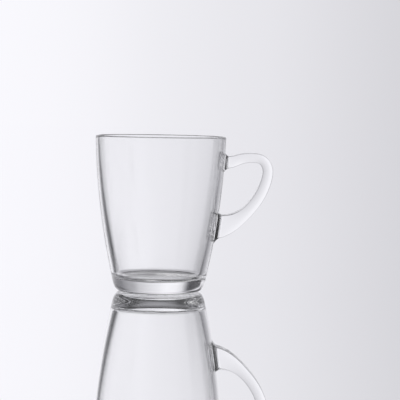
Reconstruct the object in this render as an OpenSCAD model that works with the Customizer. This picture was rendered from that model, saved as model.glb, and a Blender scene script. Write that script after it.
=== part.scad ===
// Tapered glass mug with an ear-shaped handle fused to its side.
// The mug stands on the XY plane, its axis is Z, and the handle lies along +X.

/* [Bowl] */
// Height from the table to the lip
mug_h = 100; // [88:1:120]
// Outer radius at the lip
rim_r = 42.2; // [39:0.1:48]
// Outer radius where the wall meets the heel
heel_r = 30.2; // [27:0.1:33]
// Height of the rounded heel
heel_h = 6; // [3:0.1:8]
// How far the wall swells outside a straight taper, half way up
wall_swell = 2.4; // [0.5:0.1:4]
// Thickness of the wall at the lip
rim_wall = 2.1; // [1.6:0.1:3]
// Thickness of the wall at the height of the inner floor
base_wall = 4.6; // [3:0.1:6]

/* [Base] */
// Height of the inner floor's edge above the table
floor_h = 8.9; // [6:0.1:13]
// How far the inner floor is dished below that edge in its middle
floor_dish = 1.6; // [0.5:0.1:4]
// Height of the rounded corner between the inner floor and the wall
corner_h = 4; // [2:0.1:12]
// Width of that corner along the inner floor
corner_w = 1.8; // [1:0.1:12]
// How far the foot ring's outer edge stays inside the heel
foot_inset = 3.8; // [2:0.1:6]
// Width of the flat ring that the mug stands on
foot_w = 3.4; // [2:0.1:6]
// Height of the hollow under the base
punt_h = 0.6; // [0.5:0.1:3.5]

/* [Handle] */
// How far the handle reaches out past the lip
handle_reach = 30.5; // [26:0.5:36]
// How far the top of the handle lies below the lip
handle_drop = 10.3; // [7:0.1:16]
// How far the middle of the upper root lies below the top of the handle
root_dip = 6.1; // [5:0.1:8]
// Height of the middle of the lower root above the table
low_root_z = 42; // [36:0.5:48]
// Thickness of the bar, between its outer and its inner face
bar_t = 6.6; // [5:0.1:8]
// Width of the bar across the hand
bar_w = 11; // [8:0.1:13]
// Radius of the bar's four long edges
bar_edge = 0.7; // [0.3:0.1:1.5]
// How far the bar's two side faces swell in their middle
bar_crown = 0.35; // [0.1:0.05:1]
// How far the bar flares on each side where it meets the wall
flare_out = 2.2; // [0.5:0.1:3.5]
// Length of that flare along the bar
flare_run = 3.4; // [1:0.1:6]

/* [Hidden] */

glass = [0.80, 0.86, 0.87, 0.55];

// Smoothness, in steps along each curve
round_steps = 128;
wall_steps = 18;
bend_steps = 8;
lip_steps = 12;
punt_steps = 8;
floor_steps = 10;
edge_steps = 4;
face_steps = 4;
root_span_steps = 8;
arm_span_steps = 6;

// Heights and slope that several pieces follow
lip_z = mug_h - rim_wall / 2;
corner_z = floor_h + corner_h;
wall_h = lip_z - heel_h;
heel_lean = (rim_r - heel_r + 4 * wall_swell) / wall_h;
foot_r = heel_r - foot_inset;
punt_r = foot_r - foot_w;

// Spacing of the path's points through a root
root_run = 7;
handle_top = mug_h - handle_drop;
top_root_z = handle_top - root_dip;
handle_rise = handle_top - low_root_z;

// The bar's middle line between the roots, from the upper root to the lower. Shares of the reach past
// the lip, of the rise from the lower root to the handle's top, of the thickness and of the width.
arm_shares = [
    [0.32, 0.930, 0.97, 1.00],
    [0.54, 0.940, 0.92, 0.98],
    [0.78, 0.935, 0.91, 0.97],
    [0.92, 0.790, 1.02, 0.98],
    [0.865, 0.620, 1.03, 1.00],
    [0.765, 0.450, 1.04, 1.00],
    [0.60, 0.290, 1.05, 1.01],
    [0.40, 0.155, 1.12, 1.03],
    [0.18, 0.057, 1.60, 1.07]
];
// Through a root: distance from the wall in root runs, rise in thicknesses, then thickness and width
top_root_shares = [
    [-1.4, 0, 1.25, 1.08],
    [-0.4, 0, 1.25, 1.08],
    [0.6, -0.03, 1.12, 1.04]
];
low_root_shares = [
    [0.45, 0.02, 2.20, 1.12],
    [-0.6, -0.14, 2.30, 1.15],
    [-1.6, -0.20, 2.30, 1.15],
    [-2.6, -0.23, 2.30, 1.15]
];

// The bar's section has an edge and a face on each of its four sides: which way each edge lies
edge_sides = [[1, 1], [-1, 1], [-1, -1], [1, -1]];
side_steps = edge_steps + face_steps;
section_steps = len(edge_sides) * side_steps;

// Outer radius of the wall at height z
function outer_at(z) =
    let (s = (z - heel_h) / wall_h)
    heel_r + (rim_r - heel_r) * s + 4 * wall_swell * s * (1 - s);

// Thickness of the wall at height z
function wall_at(z) = base_wall + (rim_wall - base_wall) * (z - floor_h) / (lip_z - floor_h);

// Inner radius of the wall at height z
function inner_at(z) = outer_at(z) - wall_at(z);

// Points of a smooth corner from a to c, whose tangents meet at b
function bend(a, b, c) =
    [for (k = [0:bend_steps]) let (t = k / bend_steps)
        (1 - t) * (1 - t) * a + 2 * t * (1 - t) * b + t * t * c];

// Outside of the wall, upwards
wall_outside = [for (k = [0:wall_steps]) let (z = heel_h + wall_h * k / wall_steps) [outer_at(z), z]];

// Hollow under the base, from its middle to the foot ring
punt_outline = [for (k = [0:punt_steps]) let (s = k / punt_steps) [punt_r * s, punt_h * (1 - s * s)]];

// Round of the heel, from the foot ring to the wall
heel_outline = bend([foot_r, 0], [heel_r - heel_lean * heel_h, 0], [heel_r, heel_h]);

// Rounded lip, from the outside to the inside
lip_outline = [for (k = [1:lip_steps - 1]) let (a = 180 * k / lip_steps)
    [rim_r - rim_wall / 2 * (1 - cos(a)), lip_z + rim_wall / 2 * sin(a)]];

// Inside of the wall, downwards to the corner
wall_inside = [for (k = [0:wall_steps - 1]) let (z = lip_z + (corner_z - lip_z) * k / wall_steps)
    [inner_at(z), z]];

// Corner between the wall and the inner floor, whose tangents meet a little above the floor's edge
corner_lean = (inner_at(corner_z + corner_h) - inner_at(corner_z)) / corner_h;
corner_r = inner_at(corner_z) - corner_lean * corner_h;
dish_r = corner_r - corner_w;
dish_lean = 2 * floor_dish / dish_r;
corner_rise = dish_lean * corner_w / (1 - dish_lean * corner_lean);
corner_outline = bend(
    [inner_at(corner_z), corner_z],
    [corner_r + corner_lean * corner_rise, floor_h + corner_rise],
    [dish_r, floor_h]);

// Dished inner floor, from its edge to its middle
floor_outline = [for (k = [1:floor_steps]) let (s = 1 - k / floor_steps)
    [dish_r * s, floor_h - floor_dish * (1 - s * s)]];

// Solid inside the wall's outer surface, which trims the handle's roots to the wall
module wall_core() {
    rotate_extrude($fn = round_steps)
        polygon(concat([[0, heel_h]], wall_outside, [[0, lip_z]]));
}

// Wall, lip, inner floor, heel and foot ring, pressed as one piece of glass
module bowl() {
    color(glass)
        rotate_extrude($fn = round_steps)
            polygon(concat(
                punt_outline,
                heel_outline,
                [for (k = [1:wall_steps]) wall_outside[k]],
                lip_outline,
                wall_inside,
                corner_outline,
                floor_outline
            ));
}

// Control points of the handle's middle line: x, z, thickness and width
top_root_points = [for (p = top_root_shares)
    [outer_at(top_root_z) + p[0] * root_run, top_root_z + p[1] * bar_t, p[2] * bar_t, p[3] * bar_w]];
arm_points = [for (p = arm_shares)
    [rim_r + p[0] * handle_reach, low_root_z + p[1] * handle_rise, p[2] * bar_t, p[3] * bar_w]];
low_root_points = [for (p = low_root_shares)
    [outer_at(low_root_z) + p[0] * root_run, low_root_z + p[1] * bar_t, p[2] * bar_t, p[3] * bar_w]];
path = concat(top_root_points, arm_points, low_root_points);
last_span = len(path) - 3;

// Position on the smooth curve that the control points steer, and its direction
function on_path(i, t) =
    (pow(1 - t, 3) * path[i - 1]
        + (3 * pow(t, 3) - 6 * t * t + 4) * path[i]
        + (3 * t - 3 * pow(t, 3) + 3 * t * t + 1) * path[i + 1]
        + pow(t, 3) * path[i + 2]) / 6;
function along_path(i, t) =
    -(1 - t) * (1 - t) * path[i - 1]
        + (3 * t * t - 4 * t) * path[i]
        + (1 + 2 * t - 3 * t * t) * path[i + 1]
        + t * t * path[i + 2];

// Stations along the path, closer together where the bar runs into the wall
function in_root(i) = i <= 2 || i >= last_span - 2;
stations = concat(
    [for (i = [1:last_span]) let (n = in_root(i) ? root_span_steps : arm_span_steps)
        for (k = [0:n - 1]) [i, k / n]],
    [[last_span, 1]]
);

// One point of the bar's section: how far across the bar, how far aside, and the angle it faces
function section_point(k, thick, wide) =
    let (
        side = floor(k / side_steps),
        step = k % side_steps,
        arc = min(step / edge_steps, 1),
        along = max(step - edge_steps, 0) / face_steps,
        edge_x = thick / 2 - bar_edge,
        edge_y = wide / 2 - bar_edge - bar_crown,
        tilt = atan(2 * bar_crown / edge_x),
        crowned = side % 2 == 0,
        lies = edge_sides[side],
        swell = bar_crown * (1 - pow(1 - 2 * along, 2)),
        x = lies[0] * edge_x * (crowned ? 1 - 2 * along : 1),
        y = lies[1] * (crowned ? edge_y + swell : edge_y * (1 - 2 * along)),
        a = 90 * side + (crowned ? (90 - tilt) * arc + 2 * tilt * along : tilt + (90 - tilt) * arc)
    )
    [x + bar_edge * cos(a), y + bar_edge * sin(a), a];

// How far the flare spreads the bar on each side, at distance d from the wall
function spread(d) = flare_out * pow(1 - min(max(d, 0), flare_run) / flare_run, 2);

// One section of the bar, as points in space
function bar_ring(i, t) =
    let (
        mid = on_path(i, t),
        dir = along_path(i, t),
        run = norm([dir[0], dir[1]]),
        out = [-dir[1] / run, dir[0] / run]
    )
    [for (k = [0:section_steps - 1])
        let (
            point = section_point(k, mid[2], mid[3]),
            aside = point[1],
            x = mid[0] + point[0] * out[0],
            z = mid[1] + point[0] * out[1],
            push = spread(norm([x, aside]) - outer_at(z)),
            across = push * cos(point[2])
        )
        [x + across * out[0], aside + push * sin(point[2]), z + across * out[1]]];

// The bar's whole skin, which runs on into the wall at both ends
module bar_skin() {
    rings = [for (s = stations) bar_ring(s[0], s[1])];
    n = section_steps;
    last = (len(rings) - 1) * n;
    sides = [for (r = [0:len(rings) - 2]) for (k = [0:n - 1])
        let (a = r * n + k, b = r * n + (k + 1) % n)
        each [[a, b, b + n], [a, b + n, a + n]]];
    first_end = [for (k = [1:n - 2]) [0, k + 1, k]];
    last_end = [for (k = [1:n - 2]) [last, last + k, last + k + 1]];
    polyhedron(points = [for (r = rings) each r], faces = concat(sides, first_end, last_end));
}

// Bar handle, pressed on its own and fused to the wall at both roots
module handle() {
    color(glass)
        difference() {
            bar_skin();
            wall_core();
        }
}

bowl();
handle();
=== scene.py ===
import math

import bpy
from mathutils import Matrix, Vector
from mathutils.geometry import delaunay_2d_cdt


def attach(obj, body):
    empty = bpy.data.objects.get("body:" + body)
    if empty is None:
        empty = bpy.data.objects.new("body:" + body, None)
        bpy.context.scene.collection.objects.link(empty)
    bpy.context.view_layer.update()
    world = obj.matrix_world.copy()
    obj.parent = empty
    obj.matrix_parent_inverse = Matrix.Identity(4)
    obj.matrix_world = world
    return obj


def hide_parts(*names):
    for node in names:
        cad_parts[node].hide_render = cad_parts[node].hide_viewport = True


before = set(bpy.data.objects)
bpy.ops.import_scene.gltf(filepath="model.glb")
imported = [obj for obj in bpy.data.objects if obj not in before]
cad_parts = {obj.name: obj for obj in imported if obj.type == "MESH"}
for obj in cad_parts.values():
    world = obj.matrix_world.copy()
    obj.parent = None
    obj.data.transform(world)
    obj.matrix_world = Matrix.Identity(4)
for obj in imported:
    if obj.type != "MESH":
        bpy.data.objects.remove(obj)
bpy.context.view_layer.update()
mm = 0.001  # the mug's own sizes are in mm, as in its CAD source, and other lengths in metres
scene = bpy.context.scene


def clamp(v, low, high):
    return max(low, min(high, v))


def toLinear(grey):
    # display grey 0-255 to the linear value that renders as it
    c = grey / 255
    return c / 12.92 if c <= 0.04045 else ((c + 0.055) / 1.055) ** 2.4


def toned(grey, tone):
    # a grey with a little added to its red, green and blue
    return tuple(toLinear(min(grey + more, 255)) for more in tone)


# camera, as in the photograph
cameraSet = {
    "place": (0.0, -0.9205, 0.1202),
    "pitch": -3.818,  # degrees, down is negative
    "yaw": 1.615,     # to the right of the mug's axis
    "roll": 1.0,      # the right side sits a little low
    "lens": 127.89,
    "sensor": 36.0,
    "clip": (0.02, 40),
}


def addCamera(s):
    data = bpy.data.cameras.new("mugCamera")
    data.lens = s["lens"]
    data.sensor_width = s["sensor"]
    data.clip_start, data.clip_end = s["clip"]
    camera = bpy.data.objects.new("mugCamera", data)
    scene.collection.objects.link(camera)
    turn = Matrix.Rotation(-math.radians(s["yaw"]), 4, "Z")
    tilt = Matrix.Rotation(math.radians(90 + s["pitch"]), 4, "X")
    roll = Matrix.Rotation(math.radians(s["roll"]), 4, "Z")
    camera.matrix_world = Matrix.Translation(s["place"]) @ turn @ tilt @ roll
    scene.camera = camera


addCamera(cameraSet)
print("camera placed")


# glass bowl
bowlForm = {
    "height": 100.0, "rimR": 42.2, "heelR": 30.2, "heelH": 6.0, "swell": 2.4,
    "rimWall": 2.1, "baseWall": 4.6,
    "floorH": 8.9, "floorDish": 1.6, "cornerH": 4.0, "cornerW": 1.8,
    "footInset": 3.8, "footW": 3.4, "puntH": 0.6,
    "around": 256, "wallSteps": 64, "innerSteps": 60, "heelSteps": 20,
    "lipSteps": 20, "cornerSteps": 28, "floorSteps": 24, "puntSteps": 12, "footSteps": 4,
}
lipZ = bowlForm["height"] - bowlForm["rimWall"] / 2
wallH = lipZ - bowlForm["heelH"]


def outerAt(z):
    # outer radius of the wall, in mm
    b = bowlForm
    s = (z - b["heelH"]) / wallH
    return b["heelR"] + (b["rimR"] - b["heelR"]) * s + 4 * b["swell"] * s * (1 - s)


def innerAt(z):
    b = bowlForm
    share = (z - b["floorH"]) / (lipZ - b["floorH"])
    return outerAt(z) - (b["baseWall"] + (b["rimWall"] - b["baseWall"]) * share)


def bend(a, b, c, steps):
    # quadratic corner from a to c, both ends in the list
    points = []
    for k in range(steps + 1):
        t = k / steps
        u = 1 - t
        points.append(tuple(u * u * p + 2 * t * u * q + t * t * r for p, q, r in zip(a, b, c)))
    return points


def bowlOutline():
    # (radius, height) from the middle of the underside round to the middle of the inner floor,
    # and where the outer wall starts in that list
    b = bowlForm
    footR = b["heelR"] - b["footInset"]
    puntR = footR - b["footW"]
    lean = (b["rimR"] - b["heelR"] + 4 * b["swell"]) / wallH
    under = [(puntR * k / b["puntSteps"], b["puntH"] * (1 - (k / b["puntSteps"]) ** 2))
             for k in range(1, b["puntSteps"] + 1)]
    ring = [(puntR + b["footW"] * k / b["footSteps"], 0.0) for k in range(1, b["footSteps"])]
    heel = bend((footR, 0.0), (b["heelR"] - lean * b["heelH"], 0.0), (b["heelR"], b["heelH"]),
                b["heelSteps"])
    wall = [(outerAt(z), z) for z in
            (b["heelH"] + wallH * k / b["wallSteps"] for k in range(1, b["wallSteps"] + 1))]
    lip = []
    for k in range(1, b["lipSteps"]):
        a = math.pi * k / b["lipSteps"]
        lip.append((b["rimR"] - b["rimWall"] / 2 * (1 - math.cos(a)),
                    lipZ + b["rimWall"] / 2 * math.sin(a)))
    cornerZ = b["floorH"] + b["cornerH"]
    inside = [(innerAt(z), z) for z in
              (lipZ + (cornerZ - lipZ) * k / b["innerSteps"] for k in range(b["innerSteps"]))]
    cornerLean = (innerAt(cornerZ + b["cornerH"]) - innerAt(cornerZ)) / b["cornerH"]
    cornerR = innerAt(cornerZ) - cornerLean * b["cornerH"]
    dishR = cornerR - b["cornerW"]
    dishLean = 2 * b["floorDish"] / dishR
    cornerRise = dishLean * b["cornerW"] / (1 - dishLean * cornerLean)
    corner = bend((innerAt(cornerZ), cornerZ),
                  (cornerR + cornerLean * cornerRise, b["floorH"] + cornerRise),
                  (dishR, b["floorH"]), b["cornerSteps"])
    bottom = [(dishR * s, b["floorH"] - b["floorDish"] * (1 - s * s))
              for s in (1 - k / b["floorSteps"] for k in range(1, b["floorSteps"]))]
    first = len(under) + len(ring) + len(heel) - 1
    return under + ring + heel + wall + lip + inside + corner + bottom, first


# glass handle
handleForm = {
    "reach": 30.5, "drop": 10.3, "rootDip": 6.1, "lowRootZ": 42.0,
    "thick": 6.6, "wide": 11.0, "flareOut": 2.2, "flareRun": 3.4, "rootRun": 7.0,
    # section: four faces, the two side ones with a slight crown, and small round edges
    "edge": 0.7, "crown": 0.35, "cornerSteps": 8, "faceSteps": 10,
    # rings along the bar, the ones near both ends drawn closer together
    "rings": 170, "endRings": 24, "endSpacing": 0.25, "lengthSteps": 1200,
    # the search for the wall: step along the path, and halvings after it
    "walk": 0.01, "halvings": 40,
    # middle line as in the CAD source: x, z, thickness and width, in shares
    "topRoot": [(-1.4, 0, 1.25, 1.08), (-0.4, 0, 1.25, 1.08), (0.6, -0.03, 1.12, 1.04)],
    "arm": [(0.32, 0.930, 0.97, 1.00), (0.54, 0.940, 0.92, 0.98), (0.78, 0.935, 0.91, 0.97),
            (0.92, 0.790, 1.02, 0.98), (0.865, 0.620, 1.03, 1.00), (0.765, 0.450, 1.04, 1.00),
            (0.60, 0.290, 1.05, 1.01), (0.40, 0.155, 1.12, 1.03), (0.18, 0.057, 1.60, 1.07)],
    "lowRoot": [(0.45, 0.02, 2.20, 1.12), (-0.6, -0.14, 2.30, 1.15),
                (-1.6, -0.20, 2.30, 1.15), (-2.6, -0.23, 2.30, 1.15)],
}


def handlePath():
    h = handleForm
    top = bowlForm["height"] - h["drop"]
    topRootZ = top - h["rootDip"]
    rise = top - h["lowRootZ"]
    points = [(outerAt(topRootZ) + p[0] * h["rootRun"], topRootZ + p[1] * h["thick"],
               p[2] * h["thick"], p[3] * h["wide"]) for p in h["topRoot"]]
    points += [(bowlForm["rimR"] + p[0] * h["reach"], h["lowRootZ"] + p[1] * rise,
                p[2] * h["thick"], p[3] * h["wide"]) for p in h["arm"]]
    points += [(outerAt(h["lowRootZ"]) + p[0] * h["rootRun"], h["lowRootZ"] + p[1] * h["thick"],
                p[2] * h["thick"], p[3] * h["wide"]) for p in h["lowRoot"]]
    return points


barPath = handlePath()
pathEnd = len(barPath) - 3


def onPath(u):
    # middle point with thickness and width, and the direction there
    i = min(int(u), pathEnd - 1)
    t = u - i
    near = barPath[i:i + 4]
    weights = ((1 - t) ** 3, 3 * t ** 3 - 6 * t * t + 4, -3 * t ** 3 + 3 * t * t + 3 * t + 1, t ** 3)
    slopes = (-(1 - t) ** 2, 3 * t * t - 4 * t, 1 + 2 * t - 3 * t * t, t * t)
    mid = [sum(w * p[c] for w, p in zip(weights, near)) / 6 for c in range(4)]
    run = [sum(w * p[c] for w, p in zip(slopes, near)) for c in range(2)]
    return mid, run


sideSteps = handleForm["cornerSteps"] + handleForm["faceSteps"]
sectionSteps = 4 * sideSteps


def sectionPoint(k, thick, wide):
    # point k of a section: across the bar, aside, and the angle that the surface faces
    h = handleForm
    side, step = divmod(k, sideSteps)
    arc = min(step / h["cornerSteps"], 1)
    flat = max(step - h["cornerSteps"], 0) / h["faceSteps"]
    coreX, coreY = thick / 2 - h["edge"], wide / 2 - h["edge"] - h["crown"]
    tilt = math.atan(2 * h["crown"] / coreX)
    quarter = math.pi / 2
    signX, signY = ((1, 1), (-1, 1), (-1, -1), (1, -1))[side]
    if side % 2 == 0:  # an edge, then a crowned face
        x = signX * coreX * (1 - 2 * flat)
        y = signY * (coreY + h["crown"] * (1 - (1 - 2 * flat) ** 2))
        a = quarter * side + (quarter - tilt) * arc + (2 * tilt * flat)
    else:              # an edge, then a flat face
        x = signX * coreX
        y = signY * coreY * (1 - 2 * flat)
        a = quarter * side + tilt + (quarter - tilt) * arc
    return x + h["edge"] * math.cos(a), y + h["edge"] * math.sin(a), a


def barPoint(u, k):
    # point k of the bar's section at u along its path, flared near the wall, in mm
    h = handleForm
    mid, run = onPath(u)
    length = math.hypot(*run)
    out = (-run[1] / length, run[0] / length)
    across, aside, a = sectionPoint(k, mid[2], mid[3])
    x = mid[0] + across * out[0]
    z = mid[1] + across * out[1]
    gap = clamp(math.hypot(x, aside) - outerAt(z), 0, h["flareRun"])
    push = h["flareOut"] * (1 - gap / h["flareRun"]) ** 2
    return (x + push * math.cos(a) * out[0], aside + push * math.sin(a),
            z + push * math.cos(a) * out[1])


def wallGap(point):
    # distance outside the wall, negative inside it
    return math.hypot(point[0], point[1]) - outerAt(point[2])


def rootAt(k, start, step):
    # where rail k of the bar meets the wall, walking from start
    u = start
    while wallGap(barPoint(u + step, k)) > 0:
        u += step
    clear, buried = u, u + step
    for _ in range(handleForm["halvings"]):
        half = (clear + buried) / 2
        if wallGap(barPoint(half, k)) > 0:
            clear = half
        else:
            buried = half
    return (clear + buried) / 2


def ringShares():
    # ring positions from 0 to 1, closer together at both ends
    h = handleForm
    fine = h["endSpacing"]
    weights = []
    for m in range(h["rings"]):
        inward = min(m, h["rings"] - 1 - m) / h["endRings"]
        weights.append(fine + (1 - fine) * clamp(inward, 0, 1) ** 2)
    total, run, shares = sum(weights), 0.0, [0.0]
    for w in weights:
        run += w
        shares.append(run / total)
    return shares


def lengthTable():
    # length along the middle line against u, for even rings
    steps = handleForm["lengthSteps"]
    table, last, total = [], None, 0.0
    for k in range(steps + 1):
        u = pathEnd * k / steps
        mid, _ = onPath(u)
        if last:
            total += math.hypot(mid[0] - last[0], mid[1] - last[1])
        table.append((total, u))
        last = mid
    return table


def lookUp(table, v, source, target):
    # column target where column source reaches v
    low, high = 0, len(table) - 1
    while high - low > 1:
        half = (low + high) // 2
        if table[half][source] > v:
            high = half
        else:
            low = half
    a, b = table[low], table[high]
    t = (v - a[source]) / (b[source] - a[source])
    return a[target] + (b[target] - a[target]) * t


def handleRings():
    # each ring's points, from the upper root to the lower
    walk = handleForm["walk"]
    table = lengthTable()
    shares = ringShares()
    middle = pathEnd / 2
    rails = []
    for k in range(sectionSteps):
        first = lookUp(table, rootAt(k, middle, -walk), 1, 0)
        last = lookUp(table, rootAt(k, middle, walk), 1, 0)
        rails.append([barPoint(lookUp(table, first + (last - first) * s, 0, 1), k) for s in shares])
    return [[rail[m] for rail in rails] for m in range(len(shares))]


rings = handleRings()
print("handle rings:", len(rings))


# seams, where the handle is fused to the wall
seamForm = {
    "rows": 2, "columns": 3,  # of the wall's grid, drawn again as triangles round a seam
    "clearance": 0.4,         # mm from a seam's rim to the nearest point of the grid
    "join": 1e-7,             # points closer than this count as one
}


def insideLoop(p, loop):
    # whether a line from p to the right crosses the loop an odd number of times
    hit = False
    for (ax, ay), (bx, by) in zip(loop, loop[1:] + loop[:1]):
        if (ay > p[1]) != (by > p[1]) and p[0] < ax + (bx - ax) * (p[1] - ay) / (by - ay):
            hit = not hit
    return hit


def loopGap(p, loop):
    # distance from p to the nearest side of the loop
    best = math.inf
    for a, b in zip(loop, loop[1:] + loop[:1]):
        dx, dy = b[0] - a[0], b[1] - a[1]
        t = clamp(((p[0] - a[0]) * dx + (p[1] - a[1]) * dy) / (dx * dx + dy * dy), 0, 1)
        best = min(best, math.hypot(p[0] - a[0] - t * dx, p[1] - a[1] - t * dy))
    return best


def seamPatch(rim, outline, wallRows, arc):
    # the patch of the wall's grid that makes room for a seam, and the seam's rim laid flat
    meanR = sum(math.hypot(p[0], p[1]) for p in rim) / len(rim)
    flat = [(math.atan2(p[1], p[0]) * meanR, p[2]) for p in rim]
    low, high = min(p[1] for p in flat), max(p[1] for p in flat)
    first = max(i for i in wallRows if outline[i][1] < low) - seamForm["rows"]
    last = min(i for i in wallRows if outline[i][1] > high) + seamForm["rows"]
    aside = int(max(abs(p[0]) for p in flat) / meanR / arc) + seamForm["columns"]
    return {"first": first, "last": last, "aside": aside, "meanR": meanR, "flat": flat, "rim": rim}


def stitchSeam(patch, outline, arc, gridVertex, rimVertex):
    # triangles from the patch's edge to the seam's rim and inside it, each with whether it is inside
    first, last, aside, flat = (patch[key] for key in ("first", "last", "aside", "flat"))
    places, names = [], []
    for i in range(first, last + 1):
        for j in range(-aside, aside + 1):
            p = (j * arc * patch["meanR"], outline[i][1])
            onEdge = i in (first, last) or abs(j) == aside
            if onEdge or loopGap(p, flat) > seamForm["clearance"]:
                places.append(p)
                names.append((i, j))
    start = len(places)
    sides = [(start + k, start + (k + 1) % len(flat)) for k in range(len(flat))]
    points = [Vector(p) for p in places + flat]
    corners, _, triangles, origins, *_ = delaunay_2d_cdt(points, sides, [], 0, seamForm["join"])
    ids = []
    for origin in origins:
        o = origin[0]
        ids.append(gridVertex(*names[o]) if o < start else rimVertex(patch["rim"][o - start]))
    stitched = []
    for tri in triangles:
        middle = [sum(corners[n][c] for n in tri) / 3 for c in range(2)]
        stitched.append((tuple(ids[n] for n in tri), insideLoop(middle, flat)))
    return stitched


def buildBowl():
    # points, faces, a material mark for each face, and each seam's triangles and rim
    b = bowlForm
    around = b["around"]
    arc = 2 * math.pi / around
    outline, wallFirst = bowlOutline()
    wallRows = range(wallFirst, wallFirst + b["wallSteps"])
    patches = [seamPatch(rim, outline, wallRows, arc) for rim in (rings[0], rings[-1])]
    verts, index = [], {}
    faces, seams = [], []

    def vertex(key, place):
        # a vertex's number, the same one each time its key comes back
        if key not in index:
            index[key] = len(verts)
            verts.append(place)
        return index[key]

    def gridVertex(i, j):
        r, z = outline[i]
        j %= around
        return vertex((i, j), (r * math.cos(j * arc), r * math.sin(j * arc), z))

    def rimVertex(place):
        return vertex(place, place)

    def inPatch(i, j):
        j = (j + around // 2) % around - around // 2
        return any(p["first"] <= i < p["last"] and -p["aside"] <= j < p["aside"] for p in patches)

    for i in range(len(outline) - 1):
        for j in range(around):
            if not inPatch(i, j):
                faces.append((gridVertex(i, j), gridVertex(i, j + 1),
                              gridVertex(i + 1, j + 1), gridVertex(i + 1, j)))
    top = len(outline) - 1
    underCentre = vertex("under", (0, 0, b["puntH"]))
    floorCentre = vertex("floor", (0, 0, b["floorH"] - b["floorDish"]))
    for j in range(around):
        faces.append((underCentre, gridVertex(0, j + 1), gridVertex(0, j)))
        faces.append((floorCentre, gridVertex(top, j), gridVertex(top, j + 1)))
    marks = [0] * len(faces)
    for patch in patches:
        fused = []
        for tri, inside in stitchSeam(patch, outline, arc, gridVertex, rimVertex):
            faces.append(tri)
            marks.append(int(inside))
            if inside:
                fused.append(tri)
        seams.append((fused, [rimVertex(place) for place in patch["rim"]]))
    return verts, faces, marks, seams


def meshPiece(name, verts, faces, marks, materials):
    mesh = bpy.data.meshes.new(name)
    mesh.from_pydata([(x * mm, y * mm, z * mm) for x, y, z in verts], [], faces)
    mesh.validate()
    for material in materials:
        mesh.materials.append(material)
    mesh.polygons.foreach_set("material_index", marks)
    mesh.shade_smooth()
    mesh.update()
    piece = bpy.data.objects.new(name, mesh)
    scene.collection.objects.link(piece)
    return piece


def buildHandle(bowlVerts, seams):
    # points, faces, marks and sharp edges, closed at both ends by the seams' own triangles
    n = sectionSteps
    verts = [p for ring in rings for p in ring]
    faces, marks, sharp = [], [], []
    for r in range(len(rings) - 1):
        for k in range(n):
            a, b = r * n + k, r * n + (k + 1) % n
            faces.append((a, a + n, b + n, b))
            marks.append(0)
    for end, (fused, rimIds) in zip((0, len(rings) - 1), seams):
        places = {v: end * n + k for k, v in enumerate(rimIds)}
        for tri in fused:
            for v in tri:
                if v not in places:
                    places[v] = len(verts)
                    verts.append(bowlVerts[v])
            faces.append(tuple(places[v] for v in reversed(tri)))
            marks.append(1)
        sharp += [(end * n + k, end * n + (k + 1) % n) for k in range(n)]
    return verts, faces, marks, sharp


# glass
glassFinish = {
    "tint": (0.992, 0.993, 0.995),
    "ior": 1.52,  # soda-lime glass
    "waveScale": 60.0, "waveDepth": 0.02,  # slow and very slight
}


def addNode(tree, kind, place=(0, 0), **values):
    node = tree.nodes.new(kind)
    node.location = place
    for key, value in values.items():
        setattr(node, key, value)
    return node


def addSocket(group, name, kind, way):
    group.interface.new_socket(name=name, in_out=way, socket_type=kind)


def pressedSurface():
    # slow waves that the mould leaves in pressed glass
    group = bpy.data.node_groups.new("pressedSurface", "ShaderNodeTree")
    addSocket(group, "Wave Scale", "NodeSocketFloat", "INPUT")
    addSocket(group, "Wave Depth", "NodeSocketFloat", "INPUT")
    addSocket(group, "Normal", "NodeSocketVector", "OUTPUT")
    enter = addNode(group, "NodeGroupInput", (-800, 0))
    leave = addNode(group, "NodeGroupOutput", (400, 0))
    where = addNode(group, "ShaderNodeTexCoord", (-800, -200))
    waves = addNode(group, "ShaderNodeTexNoise", (-500, 0))
    waves.inputs["Detail"].default_value = 1.0
    bump = addNode(group, "ShaderNodeBump", (0, 0))
    bump.inputs["Distance"].default_value = mm
    group.links.new(where.outputs["Object"], waves.inputs["Vector"])
    group.links.new(enter.outputs["Wave Scale"], waves.inputs["Scale"])
    group.links.new(enter.outputs["Wave Depth"], bump.inputs["Strength"])
    group.links.new(waves.outputs["Fac"], bump.inputs["Height"])
    group.links.new(bump.outputs["Normal"], leave.inputs["Normal"])
    return group


surfaceGroup = pressedSurface()


def clearGlass(name, s):
    material = bpy.data.materials.new(name)
    material.use_nodes = True
    tree = material.node_tree
    tree.nodes.clear()
    out = addNode(tree, "ShaderNodeOutputMaterial", (600, 0))
    glass = addNode(tree, "ShaderNodeBsdfPrincipled", (200, 0))
    glass.inputs["Base Color"].default_value = (*s["tint"], 1)
    glass.inputs["Roughness"].default_value = 0.0
    glass.inputs["IOR"].default_value = s["ior"]
    glass.inputs["Transmission Weight"].default_value = 1.0
    surface = addNode(tree, "ShaderNodeGroup", (-200, -200))
    surface.node_tree = surfaceGroup
    surface.inputs["Wave Scale"].default_value = s["waveScale"]
    surface.inputs["Wave Depth"].default_value = s["waveDepth"]
    tree.links.new(surface.outputs["Normal"], glass.inputs["Normal"])
    tree.links.new(glass.outputs["BSDF"], out.inputs["Surface"])
    return material


def fusedSeam():
    # one glass runs into the other here, so nothing bends or mirrors
    material = bpy.data.materials.new("fusedSeam")
    material.use_nodes = True
    tree = material.node_tree
    tree.nodes.clear()
    out = addNode(tree, "ShaderNodeOutputMaterial", (300, 0))
    clear = addNode(tree, "ShaderNodeBsdfTransparent", (0, 0))
    tree.links.new(clear.outputs["BSDF"], out.inputs["Surface"])
    return material


bowlGlass = clearGlass("bowlGlass", glassFinish)
handleGlass = clearGlass("handleGlass", glassFinish)
seamGlass = fusedSeam()

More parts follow.
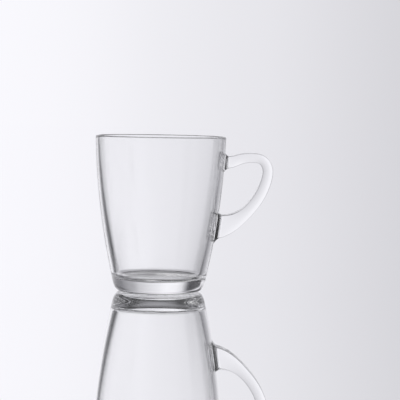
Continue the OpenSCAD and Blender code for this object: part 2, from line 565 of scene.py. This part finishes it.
bowlVerts, bowlFaces, bowlMarks, seams = buildBowl()
bowlPiece = meshPiece("glassBowl", bowlVerts, bowlFaces, bowlMarks, [bowlGlass, seamGlass])
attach(bowlPiece, "root")
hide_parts("bowl")
print("bowl built:", len(bowlFaces), "faces")

handleVerts, handleFaces, handleMarks, sharpEdges = buildHandle(bowlVerts, seams)
handlePiece = meshPiece("glassHandle", handleVerts, handleFaces, handleMarks,
                        [handleGlass, seamGlass])
sharpSet = {tuple(sorted(e)) for e in sharpEdges}
for edge in handlePiece.data.edges:
    if tuple(sorted(edge.vertices)) in sharpSet:
        edge.use_edge_sharp = True
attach(handlePiece, "root")
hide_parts("handle")
print("handle built:", len(handleFaces), "faces")


# floor
floorSet = {
    "radius": 6.5, "sides": 96,
    "drop": 0.0011,  # the table's mirror lies a little under the foot, as under a thin clear sheet
    "colour": (0.84, 0.845, 0.86), "gloss": (0.998, 0.998, 1.0), "roughness": 0.0,
    # share of mirror by the angle of view: 0 looks straight down, 1 along the floor
    "mirror": [(0.0, 0.30), (0.42, 0.45), (0.58, 0.55), (0.70, 0.70), (0.79, 0.92), (0.87, 0.97),
               (0.95, 0.99), (1.0, 1.0)],
    "mirrorThroughGlass": 0.97,  # at any angle, for what is seen through the glass
}


def addRamp(tree, stops, place=(0, 0)):
    # each stop is a position from 0 to 1, with a grey or a colour
    ramp = addNode(tree, "ShaderNodeValToRGB", place)
    stopList = ramp.color_ramp.elements
    while len(stopList) > 1:
        stopList.remove(stopList[-1])
    for n, (at, value) in enumerate(stops):
        stop = stopList[0] if n == 0 else stopList.new(at)
        stop.position = at
        stop.color = (*value, 1) if isinstance(value, tuple) else (value, value, value, 1)
    return ramp


def addFloor(s):
    sides = s["sides"]
    verts = [(0, 0, -s["drop"])]
    for n in range(sides):
        a = 2 * math.pi * n / sides
        verts.append((s["radius"] * math.cos(a), s["radius"] * math.sin(a), -s["drop"]))
    faces = [(0, 1 + n, 1 + (n + 1) % sides) for n in range(sides)]
    mesh = bpy.data.meshes.new("floor")
    mesh.from_pydata(verts, [], faces)
    floor = bpy.data.objects.new("floor", mesh)
    scene.collection.objects.link(floor)
    material = bpy.data.materials.new("polishedTable")
    material.use_nodes = True
    tree = material.node_tree
    tree.nodes.clear()
    out = addNode(tree, "ShaderNodeOutputMaterial", (600, 0))
    mix = addNode(tree, "ShaderNodeMixShader", (400, 0))
    dull = addNode(tree, "ShaderNodeBsdfDiffuse", (100, 0))
    dull.inputs["Color"].default_value = (*s["colour"], 1)
    shine = addNode(tree, "ShaderNodeBsdfGlossy", (100, -200))
    shine.inputs["Color"].default_value = (*s["gloss"], 1)
    shine.inputs["Roughness"].default_value = s["roughness"]
    facing = addNode(tree, "ShaderNodeLayerWeight", (-500, 200))
    facing.inputs["Blend"].default_value = 0.5
    ramp = addRamp(tree, s["mirror"], (-250, 200))
    tree.links.new(facing.outputs["Facing"], ramp.inputs["Fac"])
    path = addNode(tree, "ShaderNodeLightPath", (-500, 500))
    through = addNode(tree, "ShaderNodeMath", (-250, 500), operation="MULTIPLY", use_clamp=True)
    through.inputs[1].default_value = s["mirrorThroughGlass"]
    tree.links.new(path.outputs["Transmission Depth"], through.inputs[0])
    share = addNode(tree, "ShaderNodeMath", (100, 300), operation="MAXIMUM")
    tree.links.new(ramp.outputs["Color"], share.inputs[0])
    tree.links.new(through.outputs[0], share.inputs[1])
    tree.links.new(share.outputs[0], mix.inputs["Fac"])
    tree.links.new(dull.outputs["BSDF"], mix.inputs[1])
    tree.links.new(shine.outputs["BSDF"], mix.inputs[2])
    tree.links.new(mix.outputs["Shader"], out.inputs["Surface"])
    mesh.materials.append(material)


addFloor(floorSet)
print("floor laid")


# studio, with display greys by azimuth in degrees: 0 straight behind the mug, left positive
studioSet = {
    "tone": (0.0, -0.6, 4.4),  # slightly blue
    # what the camera sees, straight or in a mirror image
    "backdrop": [(-180, 226), (-150, 224), (-90, 222), (-30, 217), (-9.6, 214), (-8.8, 217),
                 (-7.2, 222), (-5.6, 227), (-4.8, 230), (-3.2, 232), (0, 238), (3.2, 246),
                 (4.8, 248), (7, 250), (40, 247), (120, 244), (180, 226)],
    # what shows through the glass: light panels low round the mug, with dark flags between them
    "panels": [(-180, 234), (-140, 234), (-104, 112), (-64, 106), (-45, 108), (-38, 134), (-30, 156),
               (-23, 170), (-17, 200), (-12, 212), (-7, 224), (0, 236), (2.5, 243), (7, 249), (15, 246),
               (21, 226), (26, 154), (29, 84), (32, 36), (36, 24), (55, 26), (60, 230),
               (116, 240), (122, 212), (130, 212), (136, 234), (180, 234)],
    # the same higher up, with flags only to the left and right
    "upper": [(-180, 236), (-138, 236), (-102, 70), (-60, 50), (-42, 56), (-33, 136), (-26, 176),
              (0, 186), (14, 174), (26, 164), (36, 212), (44, 234), (57, 236), (65, 60), (92, 60),
              (104, 236), (180, 236)],
    # share of the upper ones by height above the horizon, in degrees
    "panelTop": [(-90, 0.0), (17, 0.0), (22, 1.0), (90, 1.0)],
    # share of light by the same heights, under a dark ceiling
    "ceiling": [(-90, 1.0), (30, 1.0), (34, 0.68), (37, 0.36), (40, 0.14), (44, 0.06), (90, 0.05)],
    # the even light that everything else gets
    "plain": (0.90, 0.90, 0.909),
}


def buildWorld(s):
    world = bpy.data.worlds.new("studio")
    scene.world = world
    world.use_nodes = True
    tree = world.node_tree
    tree.nodes.clear()
    link = tree.links.new
    out = addNode(tree, "ShaderNodeOutputWorld", (1200, 0))
    back = addNode(tree, "ShaderNodeBackground", (1000, 0))
    where = addNode(tree, "ShaderNodeTexCoord", (-1200, 0))
    split = addNode(tree, "ShaderNodeSeparateXYZ", (-1000, 0))
    link(where.outputs["Generated"], split.inputs[0])
    left = addNode(tree, "ShaderNodeMath", (-800, 100), operation="MULTIPLY")
    left.inputs[1].default_value = -1
    link(split.outputs["X"], left.inputs[0])
    turn = addNode(tree, "ShaderNodeMath", (-600, 100), operation="ARCTAN2")
    link(left.outputs[0], turn.inputs[0])
    link(split.outputs["Y"], turn.inputs[1])
    share = addNode(tree, "ShaderNodeMapRange", (-400, 100))
    share.inputs["From Min"].default_value = -math.pi
    share.inputs["From Max"].default_value = math.pi
    link(turn.outputs[0], share.inputs["Value"])

    def byAzimuth(stops, place):
        colours = [((a + 180) / 360, toned(grey, s["tone"])) for a, grey in stops]
        ramp = addRamp(tree, colours, place)
        link(share.outputs[0], ramp.inputs["Fac"])
        return ramp

    backdrop = byAzimuth(s["backdrop"], (-100, 300))
    panels = byAzimuth(s["panels"], (-100, 0))
    upper = byAzimuth(s["upper"], (-100, -750))
    climb = addNode(tree, "ShaderNodeMath", (-800, -200), operation="ARCSINE")
    link(split.outputs["Z"], climb.inputs[0])
    climbShare = addNode(tree, "ShaderNodeMapRange", (-600, -200))
    climbShare.inputs["From Min"].default_value = -math.pi / 2
    climbShare.inputs["From Max"].default_value = math.pi / 2
    link(climb.outputs[0], climbShare.inputs["Value"])

    def byHeight(stops, place):
        ramp = addRamp(tree, [((e + 90) / 180, v) for e, v in stops], place)
        link(climbShare.outputs[0], ramp.inputs["Fac"])
        return ramp

    panelTop = byHeight(s["panelTop"], (-100, -250))
    ceiling = byHeight(s["ceiling"], (-100, -500))
    around = addNode(tree, "ShaderNodeMix", (200, -50), data_type="RGBA")
    link(upper.outputs["Color"], around.inputs["B"])
    link(panelTop.outputs["Color"], around.inputs["Factor"])
    link(panels.outputs["Color"], around.inputs["A"])
    seen = addNode(tree, "ShaderNodeMix", (400, -100), data_type="RGBA", blend_type="MULTIPLY")
    seen.inputs["Factor"].default_value = 1.0
    link(around.outputs["Result"], seen.inputs["A"])
    link(ceiling.outputs["Color"], seen.inputs["B"])

    path = addNode(tree, "ShaderNodeLightPath", (-100, 700))
    shown = addNode(tree, "ShaderNodeMath", (200, 600), operation="MAXIMUM")
    link(path.outputs["Is Camera Ray"], shown.inputs[0])
    link(path.outputs["Is Glossy Ray"], shown.inputs[1])
    pale = addNode(tree, "ShaderNodeMix", (500, 400), data_type="RGBA")
    pale.inputs["A"].default_value = (*s["plain"], 1)
    link(shown.outputs[0], pale.inputs["Factor"])
    link(backdrop.outputs["Color"], pale.inputs["B"])
    through = addNode(tree, "ShaderNodeMath", (500, 700), operation="GREATER_THAN")
    through.inputs[1].default_value = 0.5
    link(path.outputs["Transmission Depth"], through.inputs[0])
    final = addNode(tree, "ShaderNodeMix", (800, 300), data_type="RGBA")
    link(through.outputs[0], final.inputs["Factor"])
    link(pale.outputs["Result"], final.inputs["A"])
    link(seen.outputs["Result"], final.inputs["B"])
    link(final.outputs["Result"], back.inputs["Color"])
    link(back.outputs[0], out.inputs["Surface"])


buildWorld(studioSet)

# softbox, high on the left
lampSet = {
    "size": 1.2, "watts": 4.0,
    "place": (-0.5, -0.2, 1.6), "aim": (0.0, 0.0, 0.05),
}


def addLamp(s):
    data = bpy.data.lights.new("softbox", "AREA")
    data.shape = "SQUARE"
    data.size = s["size"]
    data.energy = s["watts"]
    lamp = bpy.data.objects.new("softbox", data)
    lamp.location = s["place"]
    lamp.rotation_mode = "QUATERNION"
    lamp.rotation_quaternion = (Vector(s["aim"]) - Vector(s["place"])).to_track_quat("-Z", "Y")
    scene.collection.objects.link(lamp)


addLamp(lampSet)
print("studio lit")

scene.view_settings.view_transform = "Standard"
scene.cycles.use_denoising = True
# light passes many faces of glass here
scene.cycles.max_bounces = 32
scene.cycles.transmission_bounces = 28
scene.cycles.glossy_bounces = 28
scene.cycles.transparent_max_bounces = 32
